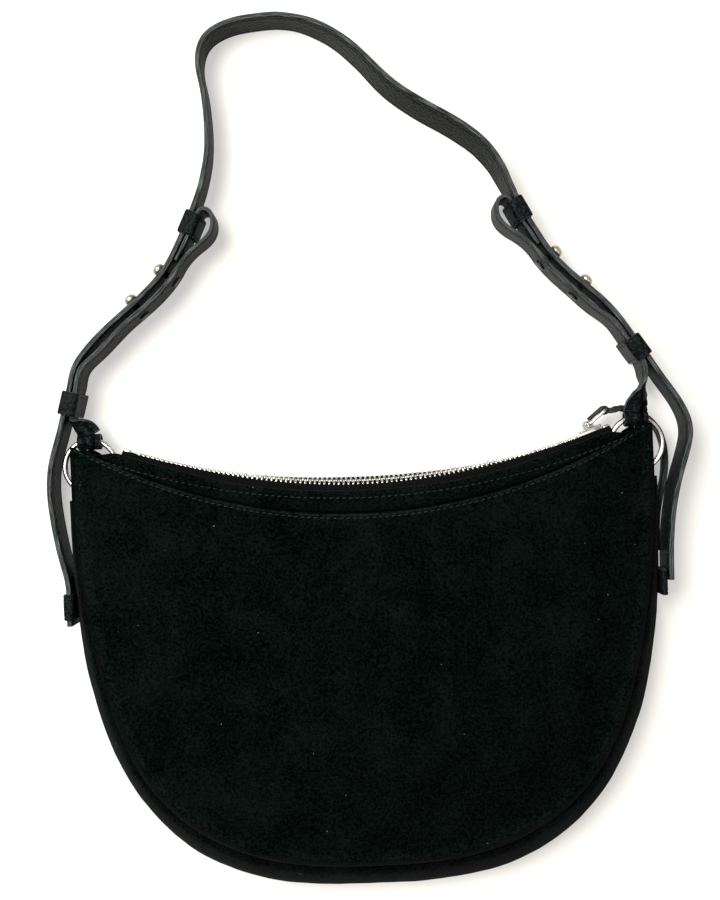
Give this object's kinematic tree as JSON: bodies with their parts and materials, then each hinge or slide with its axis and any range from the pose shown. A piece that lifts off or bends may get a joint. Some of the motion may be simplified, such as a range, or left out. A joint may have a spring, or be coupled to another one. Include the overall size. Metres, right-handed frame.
{
  "type": "half moon shoulder bag",
  "caption": "Flat half moon suede shoulder bag with a curved zip mouth, a buttoned leather strap on corner rings, sliding keepers and a long leather zip pull.",
  "frame": {"origin": "on the flat back face, at mid width and about the middle of the suede body", "axes": "+Z out of the back face through the front panel, +Y from the curved bottom to the strap, +X to the side where the zip closes"},
  "size_m": [0.3266, 0.4435, 0.0331],
  "materials": {
    "suede": "black suede with a short matt nap",
    "strap_leather": "black pebbled leather, satin, with bare cut edges",
    "lining": "dark woven cotton",
    "zip_tape": "brown black woven tape",
    "bright_nickel": "polished nickel plate",
    "antique_nickel": "worn nickel, warm grey"
  },
  "bodies": {
    "bag": {"front_panel": "suede", "front_facing": "suede", "back_panel": "suede", "back_facing": "suede", "gusset": "suede", "lining_front": "lining", "lining_back": "lining", "lining_gusset": "lining", "inner_pocket": "lining", "zip_tape_front": "zip_tape", "zip_tape_back": "zip_tape", "zip_teeth_front": "bright_nickel", "zip_teeth_back": "bright_nickel", "zip_end_stops": "bright_nickel", "ring_tab_left": "strap_leather", "ring_tab_right": "strap_leather", "side_keeper_left": "strap_leather", "side_keeper_right": "strap_leather", "strap_tail_left": "strap_leather", "strap_tail_right": "strap_leather"},
    "zip_slider": {"zip_slider": "bright_nickel", "zip_pull_strip": "strap_leather"},
    "zip_pull": {"zip_pull_link": "bright_nickel"},
    "ring_left": {"ring_left": "bright_nickel"},
    "ring_right": {"ring_right": "bright_nickel"},
    "strap": {"shoulder_strap": "strap_leather", "lower_strap_left": "strap_leather", "lower_strap_right": "strap_leather", "upper_keeper_left": "strap_leather", "upper_keeper_right": "strap_leather", "ball_studs": "antique_nickel", "stud_screws": "antique_nickel"},
    "lower_keeper_left": {"lower_keeper_left": "strap_leather"},
    "lower_keeper_right": {"lower_keeper_right": "strap_leather"}
  },
  "joints": [
    {"name": "zip_slide", "type": "hinge", "parent": "bag", "child": "zip_slider", "pos_m": [0, 0.456, 0.014], "axis": [0, 0, -1], "range_deg": [0, 36], "deforming": ["zip_teeth_front", "zip_teeth_back", "zip_pull_strip"]},
    {"name": "zip_pull_swing", "type": "hinge", "parent": "zip_slider", "child": "zip_pull", "pos_m": [0.11576, 0.11596, 0.014], "axis": [0, 0, 1], "range_deg": [-5, 120], "deforming": ["zip_pull_strip"]},
    {"name": "strap_swing", "type": "hinge", "parent": "bag", "child": "strap", "pos_m": [0, 0.11798, 0.016], "axis": [1, 0, 0], "range_deg": [0, 100], "deforming": ["strap_tail_left", "strap_tail_right"]},
    {"name": "ring_left_spin", "type": "hinge", "parent": "bag", "child": "ring_left", "pos_m": [-0.138, 0.1055, 0.016], "axis": [0, 0, 1], "continuous": true},
    {"name": "ring_right_spin", "type": "hinge", "parent": "bag", "child": "ring_right", "pos_m": [0.14, 0.1055, 0.016], "axis": [0, 0, 1], "continuous": true},
    {"name": "lower_keeper_left_slide", "type": "slide", "parent": "strap", "child": "lower_keeper_left", "axis": [0.2603, 0.9655, 0], "range_m": [0, 0.008]},
    {"name": "lower_keeper_right_slide", "type": "slide", "parent": "strap", "child": "lower_keeper_right", "axis": [-0.5547, 0.8321, 0], "range_m": [0, 0.008]}
  ]
}
